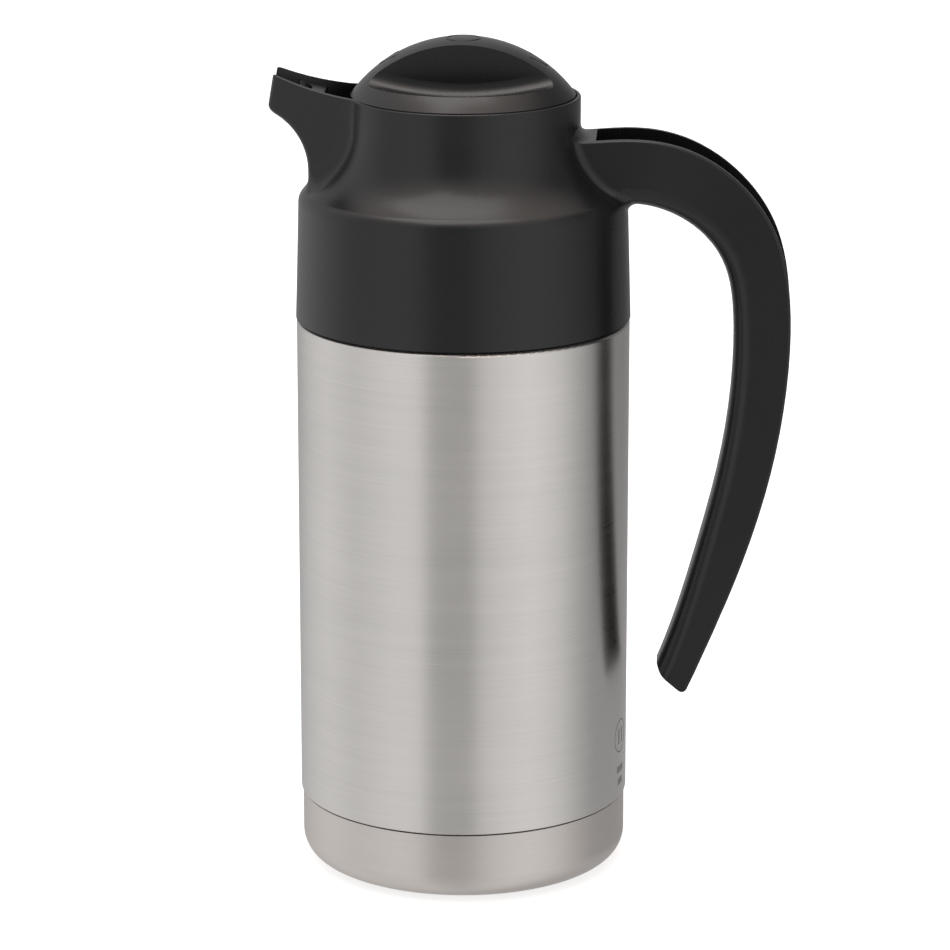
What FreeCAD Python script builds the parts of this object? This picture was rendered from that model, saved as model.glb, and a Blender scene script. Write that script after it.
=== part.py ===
import FreeCAD, Part
import math
import os
from FreeCAD import Vector

# Vacuum pouring carafe with a screw stopper.  Millimetres, +Z up.
# The origin is where the body's axis meets the surface the carafe stands on.
# The spout points to -X and the handle to +X.

# ---- body and base -------------------------------------------------------
body_radius = 45.9          # outside of the steel body
base_height = 20.4          # top edge of the base cup above the table
body_height = 135.9         # steel showing between base cup and collar
steel_wall = 0.6            # sheet thickness of shell, flask and cup
base_step = 0.5             # how far the base cup lies inside the body's surface
cup_corner = 7.0            # outside bend at the foot of the base cup
cup_clearance = 0.2         # between base cup and shell
seam_gap = 0.3              # visible seam above the base cup
pad_thickness = 1.6         # non-slip pad under the base
pad_proud = 0.8             # pad below the cup's lowest ring
pad_margin = 2.4            # flat ring of the cup around the pad
pad_clearance = 0.3
vacuum_gap = 4.2            # space between flask and shell
bottom_gap = 4.5            # space under the flask
neck_nest = 1.0             # flask's shoulder under the shell's
dish_width = 12.0           # dished corner of the flask's floor
dish_rise = 5.0
dish_bend = 20.0
flask_bend = 6.0
floor_flange = 5.0          # depth of the disc's welded rim
flange_bend = 1.5
seal_radius = 2.6           # evacuation hole and its solder plug
seal_lap = 1.6              # solder spread around the hole
seal_height = 1.0
getter_radius = 5.0
getter_height = 2.4
getter_offset = 20.0
foil_thickness = 0.2
foil_margin = 12.0          # bare flask below and above the foil

# ---- mouth and neck of the vessel ---------------------------------------
mouth_radius = 24.4         # clear opening of the flask
mouth_depth = 27.6          # flask rim below the collar's rim
neck_height = 10.0          # straight neck below the rim
shoulder_drop = 14.0        # height of the steel shoulder under the neck
shoulder_round = 9.0        # bend from body to shoulder
neck_fillet = 4.0           # bend from shoulder to neck
weld_drop = 16.0            # flask's weld below the foot of its shoulder
weld_rise = 3.0             # shell's weld above the collar's lower edge
step_in = 2.5               # body drawn in where the collar sits on it
step_height = 0.8
step_drop = 0.1             # step ends this far below the collar's edge
step_bend = 0.7

# ---- collar: skirt, shoulder, neck --------------------------------------
collar_wall = 2.2
skirt_proud = 0.2           # collar's lower edge outside the steel
skirt_draft = 1.0           # skirt is this much slimmer at the shoulder
skirt_height = 34.3
flare_slope = 7.0 / 13.0    # rise of the flare for each mm from shoulder to neck
neck_rise = 27.0            # shoulder corner to the rim
shoulder_bend = 3.8
flare_bend = 20.5
chamber_wall = 1.9          # neck wall around the pouring chamber
chamber_gap = 0.3           # liner flange to chamber wall
rim_wall = 0.95             # thin rim around the lid
rim_round = 0.45            # rounded outer edge of the rim and rails
rebate_depth = 1.6          # step in the rim that the lid sinks into
lid_gap = 0.45              # between lid edge and the rim around it
web_thickness = 3.0         # inner web that the throat liner clamps
web_drop = 21.6             # top of the web below the rim

# ---- spout ---------------------------------------------------------------
spout_overhang = 7.9        # nose beyond the shoulder
nose_half_width = 7.3
spout_flare = 0.291         # growth of the half width per mm towards the axis
spout_draft = 3.4           # narrower at the bottom, each side
nose_height = 6.3           # nose's top corner above the rim
nose_lean = 1.7             # top of the nose lies back
nose_depth = 9.7            # height of the nose's end face
keel_rise = 7.0             # underside upright up to this height above the shoulder
keel_inset = 3.1            # upright underside inside the shoulder
keel_bend = 17.0            # underside from upright to overhanging
keel_turn = 62.0            # degrees that it turns
keel_round = 2.2            # rounding under the spout and round its nose
spout_root = 12.0           # buried length inside the neck
rail_root = 12.1            # rails run out into the rim this far inside the neck
rail_wall = 1.7             # side walls of the pouring channel
channel_floor_drop = 11.0   # chamber end of the channel below the rim
channel_bend = 4.0
lip_thickness = 2.3         # floor of the channel at the nose
outlet_length = 7.8         # open channel between deck and nose
bridge_length = 7.4         # deck across the channel
bridge_thickness = 1.6
bridge_drop = 1.5           # deck below the rails
spout_blend = 7.0           # fillet between spout and collar
spare = 8.0                 # stock above the rim, cut away later

# ---- handle --------------------------------------------------------------
root_depth = 6.2            # handle's root inside the neck
root_width = 21.5
grip_width = 18.4
tip_width = 16.8
handle_floor = 3.4          # web on the finger side
handle_side = 2.1           # side walls of the channelled handle
channel_gap = 4.3           # solid between neck and channel
channel_round = 1.8         # bottom corners of the channel
channel_spare = 5.0         # cutter beyond the handle's back
finger_round = 5.2          # rounding on the finger side
rail_round = 0.7
tip_round = 5.5             # finger side of the free end
tip_edge = 1.6              # back edge of the free end
handle_blend = 3.0          # fillet between handle and collar

# ---- throat liner and gaskets --------------------------------------------
liner_wall = 2.0
liner_skirt = 8.0           # liner below the flask's rim
liner_flange = 1.2          # how far the flange reaches over the web
flange_thickness = 2.2
liner_clearance = 0.3       # liner over the neck's thread
seat_depth = 2.0            # thickness of the seat ring
seat_width = 1.0            # seat ring inside the mouth
gasket_thickness = 1.2
liner_gasket_thickness = 0.8
gasket_clearance = 0.1
running_gap = 0.4           # stopper to liner and liner to collar, each side

# ---- threads -------------------------------------------------------------
ridge_sink = 0.4            # root of a ridge buried in its wall
neck_thread_lead = 4.0
neck_thread_height = 0.8
neck_thread_width = 1.8
neck_thread_drop = 6.2      # lower end of the neck's thread below the flask's rim
neck_thread_span = 400.0    # degrees
liner_thread_width = 1.5
liner_thread_span = 330.0
stopper_lead = 12.0         # two starts, rise per full turn
thread_height = 1.3
thread_width = 2.0
thread_span = 190.0         # degrees covered by each stopper ridge
ridge_lift = 0.2            # ridge above the seal
thread_margin = 0.4         # plain wall above the end of a ridge
lug_span = 40.0
lug_reach = 1.3
lug_offset = 2.4            # liner lug above the stopper ridge
STARTS = (0, 180)           # angles of the two thread starts

# ---- stopper -------------------------------------------------------------
cap_rise = 15.8             # dome above the rim
dome_foot = 0.2             # edge of the dome above the rim
fin_half_width = 8.3
scoop_lip_rise = 4.0        # lip of the finger wells above the rim
scoop_depth = 4.4           # bowl that the wells are part of, below its lip
scoop_bend = 4.0            # bend at the foot of the fin
cap_edge = 0.8
cap_depth = 1.0             # underside of the cap's edge below the rim
cap_wall = 2.2
plug_depth = 10.0           # plug below the seal
plug_wall = 1.9
core_neck_wall = 1.5        # core where the cap's socket grips it
core_top_gap = 1.0          # top of the core below the cap's edge
core_taper = 2.0            # height of the slope from thread to neck
socket_wall = 2.0
socket_depth = 5.0
socket_clearance = 0.1
seal_thickness = 2.0
seal_clearance = 0.15       # seal around the plug
flute_count = 6
flute_width = 5.0
flute_depth = 1.2
flute_lift = 1.0            # flutes end this far above the seal
flute_turn = 0.35           # first flute, as a share of the step between flutes
floor_thickness = 2.0
floor_spigot = 1.2          # floor's step inside the plug
spigot_clearance = 0.05
foam_clearance = 0.2
oring_section = 0.8
oring_clearance = 0.1

# ---- heights worked out from the above -----------------------------------
collar_z = base_height + body_height
shoulder_z = collar_z + skirt_height
rim_z = shoulder_z + neck_rise
vessel_rim_z = rim_z - mouth_depth
neck_low_z = vessel_rim_z - neck_height
shell_weld_z = collar_z + weld_rise
flask_weld_z = neck_low_z - shoulder_drop - weld_drop
ledge_z = vessel_rim_z + gasket_thickness
seat_z = ledge_z + seat_depth
web_z = rim_z - web_drop
flange_z = web_z + liner_gasket_thickness
cup_foot_z = pad_proud
disc_z = cup_foot_z + cup_corner + floor_flange
flask_floor_z = disc_z + bottom_gap
plug_low_z = seat_z - plug_depth
seal_top_z = seat_z + seal_thickness
ridge_z = seal_top_z + ridge_lift + thread_width / 2    # lower end of each stopper ridge
lug_z = ridge_z + stopper_lead * (thread_span - lug_span) / 360 + lug_offset
waist_z = ridge_z + stopper_lead * thread_span / 360 + thread_width / 2 + thread_margin
liner_top_z = waist_z + lug_offset
cap_low_z = rim_z - cap_depth
core_top_z = cap_low_z - core_top_gap
nose_z = rim_z + nose_height

# ---- radii worked out from the above -------------------------------------
cup_radius = body_radius - base_step
low_radius = cup_radius - steel_wall - cup_clearance
upper_radius = body_radius - step_in
flask_radius = body_radius - steel_wall - vacuum_gap
pad_radius = cup_radius - cup_corner - pad_margin
neck_out = mouth_radius + 2 * steel_wall
seat_bore = mouth_radius - seat_width
liner_bore = neck_out + neck_thread_height + liner_clearance
liner_radius = liner_bore + liner_wall
bore_radius = liner_radius + running_gap
flange_radius = liner_radius + liner_flange
chamber_radius = flange_radius + chamber_gap
neck_radius = chamber_radius + chamber_wall
cap_radius = neck_radius - rim_wall - lid_gap
core_radius = liner_bore - thread_height - running_gap
plug_radius = seat_bore - running_gap
plug_bore = plug_radius - plug_wall
core_neck_radius = plug_bore + core_neck_wall
dome_height = cap_rise - dome_foot
dome_radius = (cap_radius ** 2 + dome_height ** 2) / (2 * dome_height)
shoulder_radius = body_radius + skirt_proud - skirt_draft
flare_rise = flare_slope * (shoulder_radius - neck_radius)
spout_reach = shoulder_radius + spout_overhang
keel_reach = shoulder_radius - keel_inset
bridge_start = spout_reach - outlet_length - bridge_length
rail_foot = neck_radius - rail_root
origin = Vector(0, 0, 0)
up = Vector(0, 0, 1)


def flat_point(corner):
    """Point in the XZ plane."""
    return Vector(corner[0], 0, corner[1])


def unit(vector):
    return vector.multiply(1.0 / vector.Length)


def bend(before, here, after, radius):
    """Start, middle and end of the arc that rounds one corner."""
    back = unit(before - here)
    ahead = unit(after - here)
    half = back.getAngle(ahead) / 2
    reach = radius / math.tan(half)
    inward = unit(back + ahead)
    middle = here + inward * (radius / math.sin(half) - radius)
    return here + back * reach, middle, here + ahead * reach


def outline(corners):
    """Closed face in the XZ plane; a third value in a corner is its bend radius."""
    stops = []
    for index, corner in enumerate(corners):
        here = flat_point(corner)
        if len(corner) > 2 and corner[2] > 0:
            before = flat_point(corners[index - 1])
            after = flat_point(corners[(index + 1) % len(corners)])
            stops.append(bend(before, here, after, corner[2]))
        else:
            stops.append((here, None, here))
    edges = []
    for index, (start, middle, end) in enumerate(stops):
        if middle is not None:
            edges.append(Part.Arc(start, middle, end).toShape())
        following = stops[(index + 1) % len(stops)][0]
        if end.distanceToPoint(following) > 1e-6:
            edges.append(Part.LineSegment(end, following).toShape())
    return Part.Face(Part.Wire(edges))


def offset_path(path, wall):
    """The same path moved to its left by wall; bends keep their centres."""
    moved = []
    for index, corner in enumerate(path):
        here = flat_point(corner)
        radius = corner[2] if len(corner) > 2 else 0
        sides = []
        if index > 0:
            sides.append(unit(here - flat_point(path[index - 1])))
        if index < len(path) - 1:
            sides.append(unit(flat_point(path[index + 1]) - here))
        lefts = [Vector(-side.z, 0, side.x) for side in sides]
        if len(lefts) == 2:
            total = lefts[0] + lefts[1]
            shift = total * (wall / (1 + lefts[0].dot(lefts[1])))
            turn = sides[0].x * sides[1].z - sides[0].z * sides[1].x
            new_radius = max(radius - math.copysign(wall, turn), 0) if radius else 0
        else:
            shift = lefts[0] * wall
            new_radius = 0
        moved.append((here.x + shift.x, here.z + shift.z, new_radius))
    return moved


def spin(corners):
    """Solid of revolution about the body's axis."""
    return outline(corners).revolve(origin, up, 360)


def sheet(path, wall):
    """Thin turned wall to the left of an open path."""
    return spin(path + offset_path(path, wall)[::-1])


def ring(inner, outer, low, high):
    return spin([(inner, low), (outer, low), (outer, high), (inner, high)])


def cylinder(radius, low, high):
    return Part.makeCylinder(radius, high - low, Vector(0, 0, low))


def block(low, high):
    size = Vector(*high) - Vector(*low)
    return Part.makeBox(size.x, size.y, size.z, Vector(*low))


def thread_ridge(root, tip, lead, z_start, angle, span, width):
    """Helical ridge from the root radius to the tip radius."""
    helix = Part.makeHelix(lead, lead * span / 360, abs(root))
    slope = 0.3 * abs(tip - root)
    corners = [(root, -width / 2), (tip, -width / 2 + slope), (tip, width / 2 - slope), (root, width / 2)]
    points = [flat_point(corner) for corner in corners]
    section = Part.makePolygon(points + points[:1])
    ridge = Part.Wire(helix.Edges).makePipeShell([section], True, True)
    ridge.rotate(origin, up, angle)
    ridge.translate(Vector(0, 0, z_start))
    return ridge


# ---- vessel --------------------------------------------------------------
def shell_form():
    """Whole outer wall, from the base cup to the flask's rim."""
    path = [
        (low_radius, cup_foot_z + cup_corner),
        (low_radius, base_height - cup_clearance, cup_clearance),
        (body_radius, base_height + seam_gap, seam_gap),
        (body_radius, collar_z - step_height - step_drop, step_bend),
        (upper_radius, collar_z - step_drop, step_bend),
        (upper_radius, neck_low_z - shoulder_drop, shoulder_round),
        (neck_out, neck_low_z, neck_fillet),
        (neck_out, vessel_rim_z),
    ]
    return sheet(path, steel_wall)


def outer_shell():
    """Steel body up to the weld under the collar."""
    return shell_form().common(cylinder(2 * body_radius, 0, shell_weld_z))


def shell_neck():
    """Shoulder and threaded neck, welded to the body."""
    shell = shell_form().common(cylinder(2 * body_radius, shell_weld_z, rim_z))
    thread = thread_ridge(neck_out - steel_wall / 2, neck_out + neck_thread_height, neck_thread_lead,
                          vessel_rim_z - neck_thread_drop, 0, neck_thread_span, neck_thread_width)
    return shell.fuse(thread).removeSplitter()


def flask_form():
    """Whole flask inside the shell; the two meet along the neck."""
    outside = neck_out - steel_wall
    low = neck_low_z - neck_nest
    path = [
        (0, flask_floor_z),
        (flask_radius - dish_width, flask_floor_z, dish_bend),
        (flask_radius, flask_floor_z + dish_rise, flask_bend),
        (flask_radius, low - shoulder_drop - neck_nest, shoulder_round),
        (outside, low, neck_fillet + neck_nest),
        (outside, vessel_rim_z),
    ]
    return sheet(path, steel_wall)


def inner_flask():
    """Deep-drawn lower part of the flask."""
    return flask_form().common(cylinder(body_radius, 0, flask_weld_z))


def flask_neck():
    """Shoulder and mouth of the flask."""
    return flask_form().common(cylinder(body_radius, flask_weld_z, rim_z))


def shell_bottom():
    """Disc welded into the shell under the flask."""
    radius = low_radius - steel_wall
    path = [
        (radius, disc_z - floor_flange),
        (radius, disc_z, flange_bend),
        (seal_radius, disc_z),
    ]
    return sheet(path, steel_wall)


def vacuum_seal():
    """Solder plug that fills the evacuation hole and spreads under it."""
    under = disc_z - steel_wall
    spread = seal_radius + seal_lap
    return spin([(0, under - seal_height), (spread, under - seal_height, 0.6), (spread, under),
                 (seal_radius, under), (seal_radius, disc_z), (0, disc_z)])


def getter():
    pill = cylinder(getter_radius, disc_z, disc_z + getter_height)
    top = [edge for edge in pill.Edges if edge.BoundBox.ZMin > disc_z + getter_height / 2]
    pill = pill.makeFillet(0.6, top)
    pill.translate(Vector(getter_offset, 0, 0))
    return pill


def reflective_foil():
    low = flask_floor_z + foil_margin
    high = neck_low_z - shoulder_drop - foil_margin
    return ring(flask_radius, flask_radius + foil_thickness, low, high)


def base_cup():
    recess = pad_radius + pad_clearance
    path = [
        (0, pad_thickness),
        (recess, pad_thickness, 0.4),
        (recess + 0.5, cup_foot_z, 0.4),
        (cup_radius, cup_foot_z, cup_corner),
        (cup_radius, base_height - seam_gap),
    ]
    return sheet(path, steel_wall)


def base_pad():
    return spin([(0, 0), (pad_radius, 0, 0.5), (pad_radius, pad_thickness), (0, pad_thickness)])


# ---- collar --------------------------------------------------------------
def collar_side():
    """Outside of the turned part of the collar, from its lower edge to above the rim."""
    return [
        (body_radius + skirt_proud, collar_z),
        (shoulder_radius, shoulder_z, shoulder_bend),
        (neck_radius, shoulder_z + flare_rise, flare_bend),
        (neck_radius, rim_z + spare),
    ]


def collar_form():
    return spin([(0, collar_z)] + collar_side() + [(0, rim_z + spare)])


def spout_width(reach):
    return nose_half_width + spout_flare * (spout_reach - reach)


def spout_plan(z, near, far, shrink):
    """Plan outline of the spout at one height, as a wire."""
    corners = []
    for reach, side in ((far, -1), (near, -1), (near, 1), (far, 1)):
        corners.append(Vector(-reach, side * (spout_width(reach) - shrink), z))
    return Part.makePolygon(corners + corners[:1])


def across(face):
    """Side-view face swept over the whole width of the collar."""
    slab = face.extrude(Vector(0, 4 * root_width, 0))
    slab.translate(Vector(0, -2 * root_width, 0))
    return slab


def spout_form():
    """Beak with a rounded keel, still too tall at the top."""
    low = shoulder_z + 1.0
    root = neck_radius - spout_root
    keel_z = shoulder_z + keel_rise
    centre = Vector(-keel_reach - keel_bend, 0, keel_z)
    turns = [math.radians(keel_turn / 2), math.radians(keel_turn)]
    middle, end = [centre + Vector(math.cos(turn), 0, math.sin(turn)) * keel_bend for turn in turns]
    start = Vector(-keel_reach, 0, keel_z)
    chin = Vector(-spout_reach, 0, nose_z - nose_depth)
    brow = Vector(-spout_reach + nose_lean, 0, nose_z)
    peak = brow + (brow - chin) * (spare / nose_depth)
    nose = bend(end, chin, peak, 1.1 * keel_round)
    turning = [start, end, nose[0], nose[2], peak, Vector(-root, 0, peak.z), Vector(-root, 0, low),
               Vector(-keel_reach, 0, low), start]
    arcs = {0: middle, 2: nose[1]}
    edges = []
    for index in range(len(turning) - 1):
        if index in arcs:
            edges.append(Part.Arc(turning[index], arcs[index], turning[index + 1]).toShape())
        else:
            edges.append(Part.LineSegment(turning[index], turning[index + 1]).toShape())
    slab = across(Part.Face(Part.Wire(edges)))
    near = root - 5
    far = spout_reach + 5
    wedge = Part.makeLoft([spout_plan(low - 1, near, far, spout_draft),
                           spout_plan(peak.z + 1, near, far, 0)], True, True)
    beak = slab.common(wedge)
    box = [edge for edge in beak.Edges if edge.BoundBox.XMax < -keel_reach + 0.01
           and abs(edge.CenterOfMass.y) > 2 and edge.BoundBox.ZMax < peak.z + 0.5
           and edge.BoundBox.XLength + edge.BoundBox.ZLength > 1]
    return beak.makeFillet(keel_round, box)


def rail_height(reach):
    """Rails above the rim: an arc that leaves the rim level at the rails' foot."""
    run = spout_reach - nose_lean - rail_foot
    radius = (run ** 2 + nose_height ** 2) / (2 * nose_height)
    return radius - math.sqrt(radius ** 2 - (reach - rail_foot) ** 2)


def above_rim():
    """Everything over the rim and over the spout's rails."""
    brow = Vector(-spout_reach + nose_lean, 0, nose_z)
    halfway = (spout_reach - nose_lean + rail_foot) / 2
    sag = Vector(-halfway, 0, rim_z + rail_height(halfway))
    foot = Vector(-rail_foot, 0, rim_z)
    high = rim_z + 3 * spare
    wide = 3 * body_radius
    corners = [foot, Vector(wide, 0, rim_z), Vector(wide, 0, high), Vector(-wide, 0, high),
               Vector(-wide, 0, brow.z), brow]
    edges = [Part.Arc(brow, sag, foot).toShape()]
    for start, end in zip(corners[:-1], corners[1:]):
        edges.append(Part.LineSegment(start, end).toShape())
    return across(Part.Face(Part.Wire(edges)))


def channel_cut():
    """Pouring channel from the chamber to the nose, open at the top."""
    rail_top = nose_z + 2
    floor = rim_z - channel_floor_drop
    lip = nose_z - nose_depth + lip_thickness
    far = spout_reach + 3
    chamber = chamber_radius - 3
    foot = keel_reach - 2.5
    side = outline([(-far, rail_top), (-far, lip), (-foot, floor, channel_bend),
                    (-chamber, floor), (-chamber, rail_top)])
    slab = across(side)
    wedge = Part.makeLoft([spout_plan(floor - 1, chamber, far, rail_wall + spout_draft * 0.5),
                           spout_plan(rail_top, chamber, far, rail_wall)], True, True)
    return slab.common(wedge)


def spout_bridge():
    """Deck pressed between the rails, with a round bite towards the nose."""
    start = bridge_start
    end = bridge_start + bridge_length
    deck_in = rim_z + rail_height(start) - bridge_drop
    deck_out = rim_z + rail_height(end) - bridge_drop
    side = outline([(-end, deck_out), (-start, deck_in), (-start, deck_in - bridge_thickness),
                    (-end, deck_out - bridge_thickness)])
    notch_radius = spout_width(end) - rail_wall - 0.5
    notch = Part.makeCylinder(notch_radius, 2 * nose_depth,
                              Vector(-end - notch_radius * 0.45, 0, nose_z - 1.5 * nose_depth))
    return across(side).common(channel_cut()).cut(notch)


def handle_stations():
    """Outer point, finger-side point and width of the handle, from the collar to its tip."""
    x = body_radius
    z = rim_z
    root = neck_radius - root_depth
    bend_width = (root_width + grip_width) / 2
    return [
        ((root, z - 10.4), (root, z - 28.8), root_width),
        ((x - 2.0, z - 10.4), (x - 2.0, z - 28.7), root_width),
        ((x + 14.6, z - 12.8), (x + 9.8, z - 30.6), bend_width),
        ((x + 29.3, z - 21.9), (x + 20.2, z - 37.4), grip_width),
        ((x + 39.3, z - 35.6), (x + 26.2, z - 46.8), grip_width),
        ((x + 43.8, z - 55.0), (x + 28.4, z - 60.6), grip_width),
        ((x + 43.6, z - 76.0), (x + 28.3, z - 76.6), grip_width),
        ((x + 38.9, z - 105.6), (x + 25.0, z - 102.4), grip_width),
        ((x + 30.4, z - 133.4), (x + 18.5, z - 128.9), grip_width),
        ((x + 20.1, z - 159.2), (x + 10.0, z - 156.0), tip_width),
        ((x + 14.4, z - 172.0), (x + 4.0, z - 170.0), tip_width),
    ]


def station_wire(station, low, high, narrow, low_round, high_round):
    """Rounded rectangle across the handle at one station."""
    outer, inner, width = station
    across = unit(flat_point(outer) - flat_point(inner))
    base = flat_point(inner) + across * low
    top = flat_point(outer) + across * high
    side = Vector(0, width / 2 - narrow, 0)
    corners = [base - side, base + side, top + side, top - side]
    rounds = [low_round, low_round, high_round, high_round]
    stops = []
    for index, here in enumerate(corners):
        stops.append(bend(corners[index - 1], here, corners[(index + 1) % 4], rounds[index]))
    edges = []
    for index, (start, middle, end) in enumerate(stops):
        edges.append(Part.Arc(start, middle, end).toShape())
        edges.append(Part.LineSegment(end, stops[(index + 1) % 4][0]).toShape())
    return Part.Wire(edges)


def handle_form():
    """Handle before its channel is cut, with a rounded free end."""
    wires = [station_wire(station, 0, 0, 0, finger_round, rail_round) for station in handle_stations()]
    bar = Part.makeLoft(wires, True, False)
    x = body_radius
    z = rim_z
    mask = outline([(x - 40, z + 10), (x - 40, z - 100), (x + 5.0, z - 152.0),
                    (x + 9.6, z - 162.5, tip_round), (x + 16.2, z - 168.0, tip_edge),
                    (x + 26.0, z - 146.0), (x + 60, z - 120), (x + 60, z + 10)])
    return bar.common(across(mask))


def handle_channel():
    """Channel in the back of the handle."""
    stations = handle_stations()
    outer, inner, width = stations[1]
    start = neck_radius + channel_gap
    inset = [((start, outer[1]), (start, inner[1]), width)] + stations[1:-1]
    wires = [station_wire(station, handle_floor, channel_spare, handle_side, channel_round, 0.5)
             for station in inset]
    return Part.makeLoft(wires, True, False)


def junction_edges(body, first, second):
    """Edges of body that lie on the skins of both given solids."""
    found = []
    for edge in body.Edges:
        middle = Part.Vertex(edge.valueAt((edge.FirstParameter + edge.LastParameter) / 2))
        on_first = first.Shells[0].distToShape(middle)[0] < 0.002
        if on_first and second.Shells[0].distToShape(middle)[0] < 0.002:
            found.append(edge)
    return found


def collar():
    """Collar, spout and handle in one moulding."""
    form = collar_form()
    beak = spout_form()
    body = form.fuse(beak)
    seam = [edge for edge in junction_edges(body, form, beak) if edge.BoundBox.ZMin < rim_z + spare - 0.5]
    body = body.makeFillet(min(spout_blend, 0.75 * (keel_reach - neck_radius)), seam)
    handle = handle_form()
    joined = body.fuse(handle)
    body = joined.makeFillet(handle_blend, junction_edges(joined, body, handle))
    body = body.cut(above_rim())
    lip = [edge for edge in body.Edges if edge.BoundBox.ZMin > rim_z - 0.05
           and abs(edge.CenterOfMass.x + rail_foot) > 0.01]
    body = body.makeFillet(rim_round, lip)
    body = body.cut(handle_channel())
    body = body.cut(collar_hollow())
    return body.cut(channel_cut()).removeSplitter()


def collar_hollow():
    """Space under the web, the liner's bore, the pouring chamber and the lid's rebate."""
    inside = offset_path(collar_side(), collar_wall)
    inside[0] = (inside[0][0], collar_z - 1.0)
    skirt_space = spin([(0, collar_z - 1.0)] + inside[:-1] + [(inside[-1][0], rim_z), (0, rim_z)])
    skirt_space = skirt_space.common(cylinder(2 * body_radius, collar_z - 2, web_z - web_thickness))
    bore = cylinder(bore_radius, collar_z, rim_z)
    chamber = cylinder(chamber_radius, web_z, rim_z + 1)
    rebate = cylinder(cap_radius + lid_gap, rim_z - rebate_depth, rim_z + 1)
    return skirt_space.fuse([bore, chamber, rebate])


# ---- throat liner and gaskets --------------------------------------------
def neck_gasket():
    return ring(seat_bore + seat_width / 2, neck_out - gasket_clearance, vessel_rim_z, ledge_z)


def liner_gasket():
    return ring(bore_radius + gasket_clearance, flange_radius, web_z, flange_z)


def throat_liner():
    """Threaded ring that clamps the collar to the neck and carries the stopper's thread."""
    foot = vessel_rim_z - liner_skirt
    flange_top = flange_z + flange_thickness
    body = spin([
        (liner_bore, foot), (liner_radius, foot), (liner_radius, flange_z), (flange_radius, flange_z),
        (flange_radius, flange_top, 0.5), (liner_radius, flange_top), (liner_radius, liner_top_z, 0.6),
        (liner_bore, liner_top_z, 0.6), (liner_bore, seat_z), (seat_bore, seat_z, 0.3),
        (seat_bore, ledge_z, 0.3), (liner_bore, ledge_z),
    ])
    root = liner_bore + ridge_sink
    ridges = [thread_ridge(root, neck_out + liner_clearance / 2, neck_thread_lead,
                           vessel_rim_z - neck_thread_drop + neck_thread_lead / 2, 0,
                           liner_thread_span, liner_thread_width)]
    for start in STARTS:
        ridges.append(thread_ridge(root, liner_bore - lug_reach, stopper_lead, lug_z,
                                   thread_span - lug_span + start, lug_span, thread_width))
    return body.fuse(ridges).removeSplitter()


# ---- stopper -------------------------------------------------------------
def stopper_seal():
    """Ring that closes on the seat and swivels under the core."""
    bore = plug_radius + seal_clearance
    return spin([(bore, seat_z), (core_radius, seat_z, 0.4), (core_radius, seal_top_z, 0.4),
                 (bore, seal_top_z)])


def stopper_core():
    """Threaded plug, hollow, with flutes for the coffee."""
    body = spin([
        (plug_bore, plug_low_z), (plug_radius, plug_low_z), (plug_radius, seal_top_z),
        (core_radius, seal_top_z), (core_radius, waist_z, 0.8), (core_neck_radius, waist_z + core_taper, 0.8),
        (core_neck_radius, core_top_z), (plug_bore, core_top_z),
    ])
    ridges = [thread_ridge(core_radius - ridge_sink, core_radius + thread_height, stopper_lead,
                           ridge_z, start, thread_span, thread_width) for start in STARTS]
    body = body.fuse(ridges)
    flutes = []
    for index in range(flute_count):
        flute = block((core_radius - flute_depth, -flute_width / 2, seal_top_z + flute_lift),
                      (core_radius + thread_height + 1, flute_width / 2, waist_z + core_taper))
        flute.rotate(origin, up, 360 * (index + flute_turn) / flute_count)
        flutes.append(flute)
    return body.cut(flutes).removeSplitter()


def stopper_floor():
    """Disc that closes the plug from below."""
    foot = plug_low_z - floor_thickness
    spigot = plug_bore - spigot_clearance
    top = plug_low_z + floor_spigot
    return spin([(0, foot), (plug_radius, foot, 0.8), (plug_radius, plug_low_z),
                 (spigot, plug_low_z), (spigot, top), (0, top)])


def stopper_insulation():
    low = plug_low_z + floor_spigot + foam_clearance
    return ring(0, plug_bore - foam_clearance, low, core_top_z - cap_edge)


def cap_oring():
    return ring(plug_bore + oring_clearance, core_neck_radius - oring_clearance,
                core_top_z, core_top_z + oring_section)


def dome(wall):
    """Ball whose top is the lid's dome, smaller by wall."""
    centre = rim_z + cap_rise - dome_radius
    return Part.makeSphere(dome_radius - wall, Vector(0, 0, centre))


def finger_well(side):
    """Space beside the fin, a share of one round bowl, with a bend at the fin's foot; side is -1 or 1."""
    lip_radius = math.sqrt(dome_radius ** 2 - (dome_radius - cap_rise + scoop_lip_rise) ** 2)
    bowl_radius = (lip_radius ** 2 + scoop_depth ** 2) / (2 * scoop_depth)
    bowl = Part.makeSphere(bowl_radius, Vector(0, 0, rim_z + scoop_lip_rise - scoop_depth + bowl_radius))
    wide = 2 * cap_radius
    near, far = sorted((side * fin_half_width, side * wide))
    well = bowl.common(block((-wide, near, rim_z - scoop_depth), (wide, far, rim_z + cap_rise + spare)))
    foot = [edge for edge in well.Edges if abs(edge.CenterOfMass.y - side * fin_half_width) < 0.01
            and edge.BoundBox.ZMin < rim_z + scoop_lip_rise]
    return well.makeFillet(scoop_bend, foot)


def stopper_cap():
    """Domed lid with two finger wells and a fin between them that is hollow from below."""
    top = rim_z + cap_rise
    edge = spin([(0, cap_low_z), (cap_radius - cap_edge, cap_low_z), (cap_radius, cap_low_z + cap_edge, 0.5),
                 (cap_radius, top), (0, top)])
    body = edge.common(dome(0)).cut([finger_well(-1), finger_well(1)])
    socket_in = core_neck_radius + socket_clearance
    socket = ring(socket_in, socket_in + socket_wall, cap_low_z - socket_depth, cap_low_z + cap_edge / 4)
    inside = fin_half_width - cap_wall
    fin_space = dome(cap_wall).common(block((-cap_radius, -inside, cap_low_z), (cap_radius, inside, top)))
    fin_space = fin_space.common(cylinder(plug_bore, cap_low_z, top))
    return body.fuse(socket).cut(fin_space).removeSplitter()


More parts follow.
